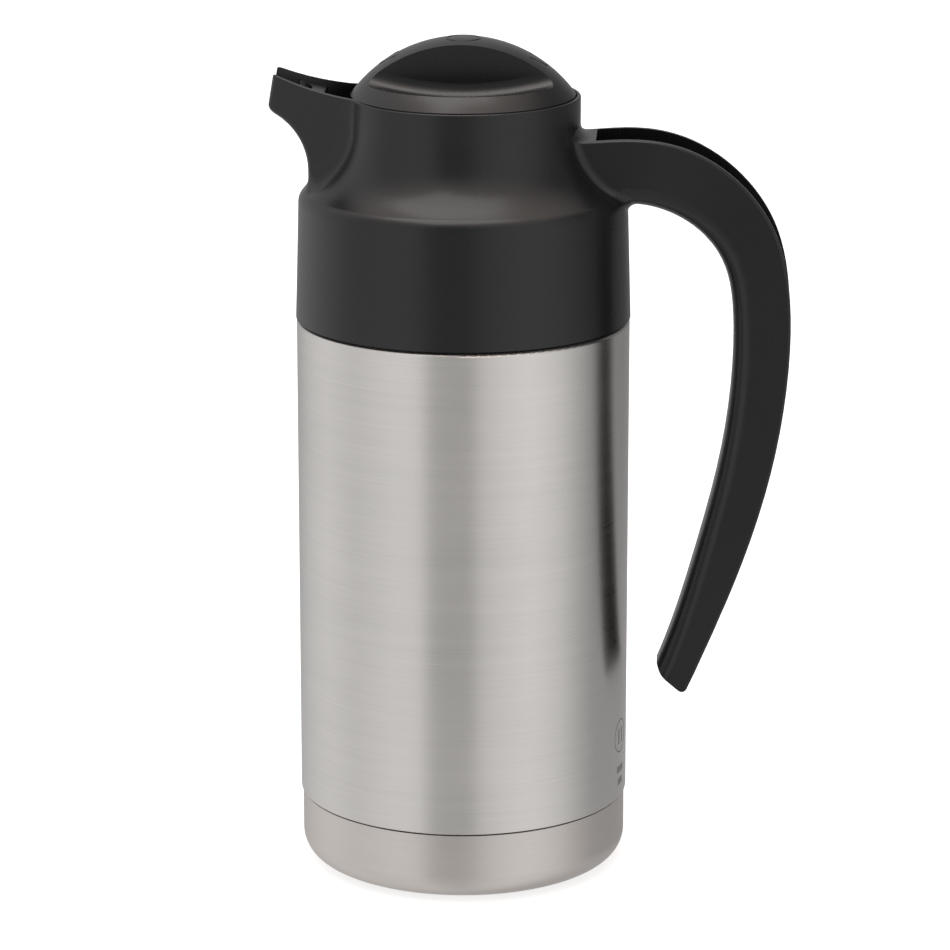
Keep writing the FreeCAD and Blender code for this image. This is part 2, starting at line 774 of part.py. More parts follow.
PARTS = (outer_shell, shell_neck, inner_flask, flask_neck, shell_bottom, vacuum_seal, getter,
         reflective_foil, base_cup, base_pad, collar, spout_bridge, throat_liner, neck_gasket,
         liner_gasket, stopper_seal, stopper_core, stopper_floor, stopper_insulation, cap_oring,
         stopper_cap)


def main():
    os.makedirs("parts", exist_ok=True)
    for build in PARTS:
        build().exportStep("parts/" + build.__name__ + ".step")


main()
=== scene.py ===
"""Looks of a steel vacuum carafe with a moulded pouring collar and a domed screw stopper.

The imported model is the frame. Its pieces stay where they are and get their finishes here. What is too
fine for it is added on the same surfaces: etched marks on the steel, raised marks on the lid, the tread
of the foot pad and its pips. All sizes are in metres, +Z is up, the spout points to -X and the handle
to +X.
"""

import logging
import math
from dataclasses import dataclass
from enum import Enum
from typing import Iterable, Protocol, Sequence

import bmesh
import bpy
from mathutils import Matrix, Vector

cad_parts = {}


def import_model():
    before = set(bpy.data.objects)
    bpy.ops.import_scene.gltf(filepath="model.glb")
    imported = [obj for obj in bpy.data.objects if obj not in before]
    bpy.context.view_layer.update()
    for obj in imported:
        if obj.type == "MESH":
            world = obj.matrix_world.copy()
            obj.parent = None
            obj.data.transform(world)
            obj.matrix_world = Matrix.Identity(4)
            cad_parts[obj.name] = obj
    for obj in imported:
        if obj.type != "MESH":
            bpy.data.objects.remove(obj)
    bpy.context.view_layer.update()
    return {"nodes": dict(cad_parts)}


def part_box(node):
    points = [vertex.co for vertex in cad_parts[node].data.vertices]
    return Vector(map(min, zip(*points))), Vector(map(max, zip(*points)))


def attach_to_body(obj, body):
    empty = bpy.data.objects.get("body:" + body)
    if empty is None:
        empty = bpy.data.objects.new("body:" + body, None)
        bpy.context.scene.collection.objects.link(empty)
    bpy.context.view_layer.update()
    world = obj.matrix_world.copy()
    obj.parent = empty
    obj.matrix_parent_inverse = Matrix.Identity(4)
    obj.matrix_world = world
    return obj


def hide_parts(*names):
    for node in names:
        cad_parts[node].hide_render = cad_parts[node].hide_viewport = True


logging.basicConfig(level=logging.INFO, format="%(message)s")
LOG = logging.getLogger("carafe")

MM = 0.001
WELD_DISTANCE = 1e-7            # corners nearer than this become one
ON_AXIS = 1e-9                  # a smaller radius is a point on the axis
MIX_FACTOR, MIX_FIRST, MIX_SECOND, MIX_RESULT = 0, 6, 7, 2      # a Mix node's sockets for colours

Tone = tuple[float, float, float]
Colour = tuple[float, float, float, float]
FlatPoint = tuple[float, float]
Socket = bpy.types.NodeSocket


class Body(Enum):
    """Bodies of the frame that the added pieces ride on."""

    VESSEL = "vessel"
    STOPPER = "stopper"


class Slot(Enum):
    """Material slots of the record for the added pieces' finishes; the pieces here are dressed with their
    finishes directly, not through these slots.
    """

    BRUSHED_STEEL = "brushed_steel"
    LID_PLASTIC = "lid_plastic"
    PAD_RUBBER = "pad_rubber"


# ---- tones ---------------------------------------------------------------


def shade(tone: Tone, factor: float) -> Tone:
    """The tone made darker or lighter by a factor."""
    return (tone[0] * factor, tone[1] * factor, tone[2] * factor)


def grey(value: float) -> Tone:
    """A neutral tone."""
    return (value, value, value)


def opaque(tone: Tone) -> Colour:
    """The tone with full cover."""
    return (*tone, 1.0)


# ---- node trees ----------------------------------------------------------


class Bench:
    """A node tree under construction, with short calls to add and join its nodes."""

    def __init__(self, tree: bpy.types.NodeTree) -> None:
        """Empties the tree.

        Args:
            tree: The shader or geometry tree to fill.
        """
        self.tree = tree
        tree.nodes.clear()

    def add(self, kind: str, values: dict | None = None, **settings: object) -> bpy.types.Node:
        """Adds one node.

        Args:
            kind: The node's type name.
            values: Input values by socket name or number; a socket as value is joined.
            settings: Properties of the node.

        Returns:
            The new node.
        """
        node = self.tree.nodes.new(kind)
        for name, value in settings.items():
            setattr(node, name, value)
        for key, value in (values or {}).items():
            if isinstance(value, Socket):
                self.tree.links.new(value, node.inputs[key])
            else:
                node.inputs[key].default_value = value
        return node

    def math(self, operation: str, *terms: object) -> Socket:
        """Adds a Math node.

        Args:
            operation: The operation's name, such as MULTIPLY.
            terms: One to three numbers or sockets.

        Returns:
            The result's socket.
        """
        return self.add("ShaderNodeMath", dict(enumerate(terms)), operation=operation).outputs[0]

    def blend(self, first: Socket, second: Socket, share: float) -> Socket:
        """Adds two patterns up, share of the first and the rest of the second."""
        rest = self.math("MULTIPLY", second, 1.0 - share)
        return self.math("MULTIPLY_ADD", first, share, rest)

    def stretched(self, scale: tuple[float, float, float] = (1.0, 1.0, 1.0)) -> Socket:
        """Object coordinates, scaled along each axis, as a vector socket."""
        place = self.add("ShaderNodeTexCoord").outputs["Object"]
        return self.add("ShaderNodeMapping", {"Vector": place, "Scale": scale}).outputs[0]

    def noise(self, vector: Socket, scale: float, detail: float = 2.0, rough: float = 0.5) -> Socket:
        """Adds a noise pattern.

        Args:
            vector: The coordinates to read.
            scale: How fine the pattern is.
            detail: Number of finer layers.
            rough: Strength of the finer layers.

        Returns:
            The pattern's factor, about 0 to 1.
        """
        values = {"Vector": vector, "Scale": scale, "Detail": detail, "Roughness": rough}
        return self.add("ShaderNodeTexNoise", values).outputs["Fac"]

    def cells(self, vector: Socket, scale: float) -> Socket:
        """Adds a pattern of cells and returns the distance from each cell's middle."""
        return self.add("ShaderNodeTexVoronoi", {"Vector": vector, "Scale": scale}).outputs[0]

    def spread(self, value: Socket, low: float, high: float, start: float = 0.3, end: float = 0.7) -> Socket:
        """Maps start..end of a factor, a noise's usual range, to low..high and holds it outside."""
        values = {"Value": value, "From Min": start, "From Max": end, "To Min": low, "To Max": high}
        return self.add("ShaderNodeMapRange", values).outputs[0]

    def mix(self, factor: Socket, first: Tone | Socket, second: Tone | Socket) -> Socket:
        """Adds a mix of two colours.

        Args:
            factor: The second colour's share.
            first: A tone or a colour's socket.
            second: A tone or a colour's socket.

        Returns:
            The mixed colour's socket.
        """
        ends = [end if isinstance(end, Socket) else opaque(end) for end in (first, second)]
        values = {MIX_FACTOR: factor, MIX_FIRST: ends[0], MIX_SECOND: ends[1]}
        return self.add("ShaderNodeMix", values, data_type="RGBA").outputs[MIX_RESULT]

    def bump(self, height: Socket, depth: float) -> Socket:
        """Adds a bump of the given depth in metres."""
        values = {"Height": height, "Distance": depth, "Strength": 1.0}
        return self.add("ShaderNodeBump", values).outputs["Normal"]


# ---- finishes ------------------------------------------------------------


@dataclass(frozen=True)
class Finish:
    """A surface finish that becomes one material."""

    name: str
    tone: Tone
    roughness: float

    def material(self) -> bpy.types.Material:
        """Builds the material once and returns it after that.

        Returns:
            The material of this finish.
        """
        title = f"{self.name}_finish"
        known = bpy.data.materials.get(title)
        if known is not None:
            return known
        made = bpy.data.materials.new(title)
        made.use_nodes = True
        bench = Bench(made.node_tree)
        shader = bench.add("ShaderNodeBsdfPrincipled", self.skin(bench))
        bench.add("ShaderNodeOutputMaterial", {"Surface": shader.outputs[0]})
        made.diffuse_color = opaque(self.tone)
        return made

    def skin(self, bench: Bench) -> dict[str, object]:
        """Values and sockets for the shader's inputs, by their names."""
        raise NotImplementedError

    def dress(self, piece: bpy.types.Object) -> bpy.types.Object:
        """Gives the piece this finish in every material slot it has.

        Args:
            piece: A CAD node or an added piece.

        Returns:
            The same piece.
        """
        if not piece.material_slots:
            piece.data.materials.append(self.material())
        for place in piece.material_slots:
            place.material = self.material()
        return piece


@dataclass(frozen=True)
class BrushedSteel(Finish):
    """Steel brushed round the body, with hair lines, wider bands and faint handling marks."""

    anisotropy: float = 0.8
    gloss_turn: float = 0.25        # of a full turn, from along the lines to across them
    hair_lines: float = 2600.0      # lines per metre of height
    bands: float = 420.0            # bands per metre of height
    along: float = 22.0             # how quickly a line changes round the body
    handling: float = 38.0          # handling marks per metre
    hair_share: float = 0.65        # of the hair lines in the streaks
    handling_share: float = 0.35    # of the handling marks in colour and gloss
    line_depth: float = 0.000004
    contrast: float = 0.10
    smoother: float = 0.05
    rougher: float = 0.06

    def skin(self, bench: Bench) -> dict[str, object]:
        """Hair lines and bands in colour, roughness and bump.

        Args:
            bench: The material's tree.

        Returns:
            Values and sockets for the shader's inputs.
        """
        lined = bench.stretched((self.along, self.along, self.hair_lines))
        banded = bench.stretched((self.along / 2, self.along / 2, self.bands))
        lines = bench.noise(lined, 1.0, detail=3.0, rough=0.6)
        wide = bench.noise(banded, 1.0)
        marks = bench.noise(bench.stretched(), self.handling, detail=3.0)
        streaks = bench.blend(lines, wide, self.hair_share)
        cloud = bench.blend(marks, streaks, self.handling_share)
        dark = shade(self.tone, 1.0 - self.contrast)
        light = shade(self.tone, 1.0 + self.contrast / 2)
        tangent = bench.add("ShaderNodeTangent", direction_type="RADIAL", axis="Z")
        return {
            "Base Color": bench.mix(bench.spread(cloud, 0.0, 1.0), dark, light),
            "Roughness": bench.spread(cloud, self.roughness - self.smoother, self.roughness + self.rougher),
            "Normal": bench.bump(streaks, self.line_depth),
            "Tangent": tangent.outputs[0],
            "Metallic": 1.0,
            "Anisotropic": self.anisotropy,
            "Anisotropic Rotation": self.gloss_turn,
        }


@dataclass(frozen=True)
class MouldedPlastic(Finish):
    """Satin moulded plastic with a fine spark-eroded grain and slow changes of sheen."""

    grain: float = 4200.0           # grains per metre
    coarseness: float = 4.0         # width of a coarse grain, in fine ones
    coarse_share: float = 0.4
    grain_depth: float = 0.0000022
    flow: float = 26.0              # slow changes per metre
    flow_share: float = 0.7         # of the slow changes in the gloss
    gloss_change: float = 0.04
    darker: float = 0.86
    lighter: float = 1.12
    specular: float = 0.5

    def skin(self, bench: Bench) -> dict[str, object]:
        """Grain and sheen in colour, roughness and bump.

        Args:
            bench: The material's tree.

        Returns:
            Values and sockets for the shader's inputs.
        """
        place = bench.stretched()
        fine = bench.noise(place, self.grain, rough=0.6)
        coarse = bench.noise(place, self.grain / self.coarseness)
        grain = bench.blend(coarse, fine, self.coarse_share)
        sheen = bench.blend(bench.noise(place, self.flow, detail=3.0), grain, self.flow_share)
        dark, light = shade(self.tone, self.darker), shade(self.tone, self.lighter)
        change = self.gloss_change
        return {
            "Base Color": bench.mix(bench.spread(grain, 0.0, 1.0), dark, light),
            "Roughness": bench.spread(sheen, self.roughness - change, self.roughness + change),
            "Normal": bench.bump(grain, self.grain_depth),
            "Specular IOR Level": self.specular,
        }


@dataclass(frozen=True)
class Elastomer(Finish):
    """Rubber or silicone: a dull skin with fine dust and flow marks."""

    scatter: float = 0.0
    scatter_depth: float = MM
    dust: float = 2600.0            # specks per metre
    flow: float = 160.0             # flow marks per metre
    flow_share: float = 0.5
    relief: float = 0.000015
    gloss_change: float = 0.08
    darker: float = 0.85
    lighter: float = 1.15

    def skin(self, bench: Bench) -> dict[str, object]:
        """Dust and flow marks in colour, roughness and bump.

        Args:
            bench: The material's tree.

        Returns:
            Values and sockets for the shader's inputs.
        """
        place = bench.stretched()
        dust = bench.noise(place, self.dust, detail=3.0, rough=0.65)
        mixed = bench.blend(bench.noise(place, self.flow), dust, self.flow_share)
        dark, light = shade(self.tone, self.darker), shade(self.tone, self.lighter)
        change = self.gloss_change
        return {
            "Base Color": bench.mix(bench.spread(mixed, 0.0, 1.0), dark, light),
            "Roughness": bench.spread(mixed, self.roughness - change, self.roughness + change),
            "Normal": bench.bump(mixed, self.relief),
            "Subsurface Weight": self.scatter,
            "Subsurface Scale": self.scatter_depth,
        }


@dataclass(frozen=True)
class BareMetal(Finish):
    """Foil, solder or sintered metal: a metal skin with creases or pits."""

    crease: float = 260.0           # creases per metre
    pits_per_crease: float = 6.0
    pit_share: float = 0.3
    depth: float = 0.00006
    darker: float = 0.8
    smoother: float = 0.06
    rougher: float = 0.1

    def skin(self, bench: Bench) -> dict[str, object]:
        """Creases and pits in colour, roughness and bump.

        Args:
            bench: The material's tree.

        Returns:
            Values and sockets for the shader's inputs.
        """
        place = bench.stretched()
        pits = bench.noise(place, self.crease * self.pits_per_crease, detail=3.0)
        relief = bench.blend(pits, bench.cells(place, self.crease), self.pit_share)
        dark = shade(self.tone, self.darker)
        return {
            "Base Color": bench.mix(bench.spread(relief, 0.0, 1.0), dark, self.tone),
            "Roughness": bench.spread(pits, self.roughness - self.smoother, self.roughness + self.rougher),
            "Normal": bench.bump(relief, self.depth),
            "Metallic": 1.0,
        }


@dataclass(frozen=True)
class CellFoam(Finish):
    """Closed-cell foam with a skin of small bubbles."""

    bubbles: float = 900.0          # bubbles per metre
    depth: float = 0.0001
    darker: float = 0.82

    def skin(self, bench: Bench) -> dict[str, object]:
        """Bubbles in colour, roughness and bump.

        Args:
            bench: The material's tree.

        Returns:
            Values and sockets for the shader's inputs.
        """
        bubbles = bench.cells(bench.stretched(), self.bubbles)
        return {
            "Base Color": bench.mix(bubbles, shade(self.tone, self.darker), self.tone),
            "Roughness": bench.spread(bubbles, self.roughness, 1.0, 0.0, 1.0),
            "Normal": bench.bump(bubbles, self.depth),
        }


BODY_STEEL = BrushedSteel("body_steel", (0.76, 0.735, 0.71), 0.30)
CUP_STEEL = BrushedSteel("cup_steel", (0.74, 0.69, 0.655), 0.36, anisotropy=0.6, contrast=0.07,
                         line_depth=0.000003)
DRAWN_STEEL = BrushedSteel("drawn_steel", (0.62, 0.61, 0.60), 0.26, anisotropy=0.4, hair_lines=900.0)
ETCHED_STEEL = BrushedSteel("etched_steel", (0.20, 0.19, 0.18), 0.55, anisotropy=0.2, contrast=0.2)
COLLAR_PLASTIC = MouldedPlastic("collar_plastic", (0.0052, 0.0054, 0.0060), 0.27)
LID_PLASTIC = MouldedPlastic("lid_plastic", (0.0042, 0.0038, 0.0041), 0.27, specular=0.66)
LINER_PLASTIC = MouldedPlastic("liner_plastic", (0.005, 0.005, 0.0055), 0.26, grain=1800.0)
PAD_RUBBER = Elastomer("pad_rubber", (0.035, 0.035, 0.036), 0.75)
SILICONE = Elastomer("silicone", (0.70, 0.70, 0.67), 0.45, scatter=0.35)
BRIGHT_FOIL = BareMetal("bright_foil", (0.86, 0.86, 0.88), 0.18)
SOLDER = BareMetal("solder", (0.60, 0.60, 0.62), 0.30, crease=500.0, depth=0.00003)
SINTERED = BareMetal("sintered", (0.35, 0.35, 0.37), 0.62, crease=1500.0, depth=0.00005)
FOAM = CellFoam("foam", (0.85, 0.84, 0.80), 0.7)


# ---- surfaces that marks lie on ------------------------------------------


class Surface(Protocol):
    """A surface with flat coordinates of its own."""

    def place(self, u: float, v: float, height: float) -> Vector:
        """The point at u, v on the surface, raised by height."""


@dataclass(frozen=True)
class BarrelSurface:
    """Upright round wall; u runs round it from the given bearing and v upwards from the level."""

    radius: float
    bearing: float          # degrees from -Y towards +X
    level: float

    def place(self, u: float, v: float, height: float) -> Vector:
        """Finds a point on the wall or over it.

        Args:
            u: Distance round the wall.
            v: Distance upwards.
            height: Distance off the wall.

        Returns:
            The point.
        """
        angle = math.radians(self.bearing) + u / self.radius
        reach = self.radius + height
        return Vector((reach * math.sin(angle), -reach * math.cos(angle), self.level + v))


@dataclass(frozen=True)
class DomeSurface:
    """Ball-shaped top; u and v are X and Y."""

    radius: float
    top: float

    def place(self, u: float, v: float, height: float) -> Vector:
        """Finds a point on the dome or over it.

        Args:
            u: The point's X on the dome.
            v: The point's Y on the dome.
            height: Distance off the dome, along its normal.

        Returns:
            The point.
        """
        depth = math.sqrt(self.radius ** 2 - u * u - v * v)
        normal = Vector((u, v, depth)) / self.radius
        centre = Vector((0.0, 0.0, self.top - self.radius))
        return centre + normal * (self.radius + height)


@dataclass(frozen=True)
class RaisedBand:
    """A thin band with sloping sides that stands proud of a surface."""

    surface: Surface
    width: float            # across its foot
    proud: float
    sunk: float             # how far its foot goes into the surface
    crest: float = 0.6      # width of its top, as a share of the foot

    def lay(self, made: bmesh.types.BMesh, path: Sequence[FlatPoint]) -> None:
        """Adds the band along a closed path.

        Args:
            made: The mesh to add to.
            path: The band's centre line, in the surface's flat coordinates.
        """
        foot = self.width / 2
        top = foot * self.crest
        section = ((-foot, -self.sunk), (-foot, 0.0), (-top, self.proud),
                   (top, self.proud), (foot, 0.0), (foot, -self.sunk))
        rings = []
        count = len(path)
        for index, point in enumerate(path):
            before = Vector(path[index - 1])
            after = Vector(path[(index + 1) % count])
            run = (after - before).normalized()
            side = Vector((-run.y, run.x))
            ring = []
            for across, height in section:
                spot = Vector(point) + side * across
                ring.append(made.verts.new(self.surface.place(spot.x, spot.y, height)))
            rings.append(ring)
        for index, ring in enumerate(rings):
            following = rings[(index + 1) % count]
            for corner in range(len(ring)):
                other = (corner + 1) % len(ring)
                made.faces.new((ring[corner], following[corner], following[other], ring[other]))


# ---- mesh helpers --------------------------------------------------------


def keep(mesh: bpy.types.Mesh, name: str) -> bpy.types.Object:
    """Puts a mesh into the scene.

    Args:
        mesh: The mesh.
        name: The new object's name.

    Returns:
        The new object.
    """
    piece = bpy.data.objects.new(name, mesh)
    bpy.context.scene.collection.objects.link(piece)
    return piece


def from_bmesh(made: bmesh.types.BMesh, name: str, smooth: bool = True) -> bpy.types.Object:
    """Turns a bmesh into a piece with outward faces.

    Args:
        made: The mesh, which is freed.
        name: The piece's name.
        smooth: Whether its faces are shaded smooth.

    Returns:
        The new piece.
    """
    bmesh.ops.remove_doubles(made, verts=made.verts, dist=WELD_DISTANCE)
    bmesh.ops.recalc_face_normals(made, faces=made.faces)
    mesh = bpy.data.meshes.new(name)
    made.to_mesh(mesh)
    made.free()
    for face in mesh.polygons:
        face.use_smooth = smooth
    return keep(mesh, name)


def circle(radius: float, count: int) -> list[FlatPoint]:
    """Points round a circle about 0, 0."""
    turns = [math.tau * step / count for step in range(count)]
    return [(radius * math.cos(turn), radius * math.sin(turn)) for turn in turns]


def rounded_polygon(corners: Sequence[FlatPoint], bend: float, steps: int = 5) -> list[FlatPoint]:
    """Closed path through corners, each eased by a curve.

    Args:
        corners: The polygon's corners.
        bend: How far from its corner a curve starts and ends.
        steps: Number of straight runs in a curve.

    Returns:
        The path's points.
    """
    path = []
    for index, corner in enumerate(corners):
        here = Vector(corner)
        start = here + (Vector(corners[index - 1]) - here).normalized() * bend
        end = here + (Vector(corners[(index + 1) % len(corners)]) - here).normalized() * bend
        for step in range(steps + 1):
            share = step / steps
            spot = start.lerp(here, share).lerp(here.lerp(end, share), share)
            path.append((spot.x, spot.y))
    return path


def lathe(profile: Sequence[FlatPoint], segments: int, name: str) -> bpy.types.Object:
    """Turns a profile of radius and level about the axis into a closed piece.

    Args:
        profile: Points from the axis at one end to the axis at the other.
        segments: Number of faces round the axis.
        name: The piece's name.

    Returns:
        The turned piece.
    """
    made = bmesh.new()
    rings = []
    for radius, level in profile:
        if radius < ON_AXIS:
            rings.append([made.verts.new((0.0, 0.0, level))] * segments)
        else:
            rings.append([made.verts.new((x, y, level)) for x, y in circle(radius, segments)])
    for low, high in zip(rings[:-1], rings[1:]):
        for step in range(segments):
            following = (step + 1) % segments
            corners = list(dict.fromkeys((low[step], low[following], high[following], high[step])))
            if len(corners) > 2:
                made.faces.new(corners)
    return from_bmesh(made, name)


# ---- geometry node trees -------------------------------------------------


@dataclass(frozen=True)
class Pattern:
    """A geometry tree that makes a repeated shape, turned into a plain piece."""

    name: str

    def inputs(self) -> dict[str, float | int]:
        """Names and values of the tree's inputs."""
        raise NotImplementedError

    def wire(self, bench: Bench, given: dict[str, Socket]) -> Socket:
        """Builds the instances and returns their geometry socket."""
        raise NotImplementedError

    def build(self, finish: Finish) -> bpy.types.Object:
        """Builds the tree, evaluates it once and keeps the result as a mesh.

        Args:
            finish: The finish of the repeated shape.

        Returns:
            The new piece, without a modifier.
        """
        tree = bpy.data.node_groups.new(self.name, "GeometryNodeTree")
        bench = Bench(tree)
        tree.interface.new_socket("Geometry", in_out="OUTPUT", socket_type="NodeSocketGeometry")
        identifiers = {}
        for label, value in self.inputs().items():
            kind = "NodeSocketInt" if isinstance(value, int) else "NodeSocketFloat"
            made = tree.interface.new_socket(label, in_out="INPUT", socket_type=kind)
            identifiers[label] = made.identifier
        source = bench.add("NodeGroupInput")
        given = {label: source.outputs[label] for label in identifiers}
        real = bench.add("GeometryNodeRealizeInstances", {"Geometry": self.wire(bench, given)})
        values = {"Geometry": real.outputs[0], "Material": finish.material()}
        dressed = bench.add("GeometryNodeSetMaterial", values)
        bench.add("NodeGroupOutput", {0: dressed.outputs[0]})
        carrier = keep(bpy.data.meshes.new(self.name + "_carrier"), self.name + "_carrier")
        modifier = carrier.modifiers.new("pattern", "NODES")
        modifier.node_group = tree
        for label, value in self.inputs().items():
            modifier[identifiers[label]] = value
        graph = bpy.context.evaluated_depsgraph_get()
        mesh = bpy.data.meshes.new_from_object(carrier.evaluated_get(graph))
        bpy.data.objects.remove(carrier)
        mesh.name = self.name
        return keep(mesh, self.name)


@dataclass(frozen=True)
class EtchedBars(Pattern):
    """A row of short flat bars round an upright wall."""

    count: int
    radius: float           # of the wall, to the middle of a bar's thickness
    bearing: float          # degrees from -Y towards +X, of the row's middle
    level: float
    pitch: float
    thickness: float
    width: float
    height: float

    def inputs(self) -> dict[str, float | int]:
        """Names and values of the tree's inputs, with the bearing measured from +X."""
        return {"Count": self.count, "Radius": self.radius, "Bearing": math.radians(self.bearing - 90.0),
                "Level": self.level, "Pitch": self.pitch, "Thickness": self.thickness,
                "Width": self.width, "Height": self.height}

    def wire(self, bench: Bench, given: dict[str, Socket]) -> Socket:
        """Sets one bar at each step round the wall, facing outwards.

        Args:
            bench: The tree.
            given: The tree's inputs by name.

        Returns:
            The bars' geometry socket.
        """
        index = bench.add("GeometryNodeInputIndex").outputs[0]
        middle = bench.math("DIVIDE", bench.math("SUBTRACT", given["Count"], 1.0), 2.0)
        arc = bench.math("MULTIPLY", bench.math("SUBTRACT", index, middle), given["Pitch"])
        angle = bench.math("ADD", bench.math("DIVIDE", arc, given["Radius"]), given["Bearing"])
        across = bench.math("MULTIPLY", bench.math("COSINE", angle), given["Radius"])
        depth = bench.math("MULTIPLY", bench.math("SINE", angle), given["Radius"])
        spot = bench.add("ShaderNodeCombineXYZ", {0: across, 1: depth, 2: given["Level"]})
        turn = bench.add("ShaderNodeCombineXYZ", {2: angle})
        points = bench.add("GeometryNodePoints", {"Count": given["Count"], "Position": spot.outputs[0]})
        sides = {0: given["Thickness"], 1: given["Width"], 2: given["Height"]}
        size = bench.add("ShaderNodeCombineXYZ", sides)
        bar = bench.add("GeometryNodeMeshCube", {"Size": size.outputs[0]})
        values = {"Points": points.outputs[0], "Instance": bar.outputs[0], "Rotation": turn.outputs[0]}
        return bench.add("GeometryNodeInstanceOnPoints", values).outputs[0]


@dataclass(frozen=True)
class PipRing(Pattern):
    """A ring of small blunt pips that point down, as on a non-slip foot."""

    count: int
    radius: float
    level: float            # of the pips' tips
    pip_radius: float
    pip_height: float
    pip_sides: int = 12
    tip_share: float = 0.7  # radius of a pip's tip, as a share of its root's

    def inputs(self) -> dict[str, float | int]:
        """Names and values of the tree's inputs."""
        return {"Count": self.count, "Ring Radius": self.radius, "Level": self.level,
                "Pip Radius": self.pip_radius, "Pip Height": self.pip_height,
                "Pip Sides": self.pip_sides, "Tip Share": self.tip_share}

    def wire(self, bench: Bench, given: dict[str, Socket]) -> Socket:
        """Sets one blunt cone at each point of a circle.

        Args:
            bench: The tree.
            given: The tree's inputs by name.

        Returns:
            The pips' geometry socket.
        """
        outline = {"Vertices": given["Count"], "Radius": given["Ring Radius"]}
        ring = bench.add("GeometryNodeMeshCircle", outline)
        lift = bench.add("ShaderNodeCombineXYZ", {2: given["Level"]})
        moved = {"Geometry": ring.outputs[0], "Offset": lift.outputs[0]}
        raised = bench.add("GeometryNodeSetPosition", moved)
        tip = bench.math("MULTIPLY", given["Pip Radius"], given["Tip Share"])
        cone = {"Vertices": given["Pip Sides"], "Radius Top": given["Pip Radius"], "Radius Bottom": tip,
                "Depth": given["Pip Height"]}
        pip = bench.add("GeometryNodeMeshCone", cone)
        values = {"Points": raised.outputs[0], "Instance": pip.outputs["Mesh"]}
        return bench.add("GeometryNodeInstanceOnPoints", values).outputs[0]


# ---- sub-assemblies ------------------------------------------------------


def dress_nodes(nodes: dict[str, bpy.types.Object], finishes: dict[str, Finish]) -> None:
    """Gives nodes of the frame their finishes.

    Args:
        nodes: The frame's objects by name.
        finishes: The finish for each of the names to dress.
    """
    for name, finish in finishes.items():
        finish.dress(nodes[name])
        LOG.info("dressed %s as %s", name, finish.name)


def attach(pieces: Iterable[bpy.types.Object], body: Body) -> None:
    """Joins added pieces to the frame.

    Args:
        pieces: The pieces.
        body: The body that they ride on.
    """
    for piece in pieces:
        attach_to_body(piece, body.value)
        LOG.info("made %s, %d faces", piece.name, len(piece.data.polygons))


def width_of(node: str) -> float:
    """Width of a node along X, read from the frame."""
    low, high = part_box(node)
    return high.x - low.x


@dataclass
class SteelVessel:
    """Double-walled steel vessel, its base cup and what is sealed between its walls."""

    nodes: dict[str, bpy.types.Object]
    mark_bearing: float = 76.0      # degrees from -Y towards +X
    mark_level: float = 38.6 * MM
    mark_proud: float = 0.02 * MM
    mark_sunk: float = 0.05 * MM
    line_width: float = 0.28 * MM
    ring_radius: float = 4.7 * MM
    ring_steps: int = 72
    stroke_half_width: float = 0.3 * MM
    stroke_bend: float = 0.2 * MM
    stroke_offset: float = 0.3      # from the ring's centre, as a share of its radius
    stroke_reach: float = 0.45      # half a stroke's height, as a share of the ring's radius
    rows: tuple[tuple[float, int], ...] = ((28.9 * MM, 5), (25.3 * MM, 4))     # level, bars
    row_pitch: float = 1.15 * MM
    bar_width: float = 0.5 * MM
    bar_height: float = 1.9 * MM

    def dress(self) -> None:
        """Gives every steel and vacuum piece its finish."""
        dress_nodes(self.nodes, {
            "outer_shell": BODY_STEEL, "shell_neck": DRAWN_STEEL, "inner_flask": DRAWN_STEEL,
            "flask_neck": DRAWN_STEEL, "shell_bottom": DRAWN_STEEL, "base_cup": CUP_STEEL,
            "vacuum_seal": SOLDER, "getter": SINTERED, "reflective_foil": BRIGHT_FOIL})

    def etched_ring(self, wall: float) -> bpy.types.Object:
        """Plain ring etched low on the wall beside the handle, round two plain upright strokes.

        Args:
            wall: Outside radius of the steel wall.

        Returns:
            The ring with its strokes.
        """
        surface = BarrelSurface(wall, self.mark_bearing, self.mark_level)
        band = RaisedBand(surface, self.line_width, self.mark_proud, self.mark_sunk)
        made = bmesh.new()
        band.lay(made, circle(self.ring_radius, self.ring_steps))
        reach = self.ring_radius * self.stroke_reach
        half = self.stroke_half_width
        for way in (-1.0, 1.0):
            middle = way * self.stroke_offset * self.ring_radius
            stroke = [(middle - half, -reach), (middle + half, -reach),
                      (middle + half, reach), (middle - half, reach)]
            band.lay(made, rounded_polygon(stroke, self.stroke_bend))
        return from_bmesh(made, "etched_ring", smooth=False)

    def etched_row(self, index: int, wall: float) -> bpy.types.Object:
        """One of the rows of plain bars under the ring.

        Args:
            index: Which row, from the top.
            wall: Outside radius of the steel wall.

        Returns:
            The row's bars.
        """
        level, count = self.rows[index]
        middle = wall + self.mark_proud - self.mark_sunk
        bars = EtchedBars(f"etched_row_{index + 1}", count, middle, self.mark_bearing, level,
                          self.row_pitch, 2 * self.mark_sunk, self.bar_width, self.bar_height)
        return bars.build(ETCHED_STEEL)

    def build(self) -> None:
        """Adds the etched ring and the rows of bars to the wall."""
        wall = width_of("outer_shell") / 2
        pieces = [ETCHED_STEEL.dress(self.etched_ring(wall))]
        pieces += [self.etched_row(index, wall) for index in range(len(self.rows))]
        attach(pieces, Body.VESSEL)


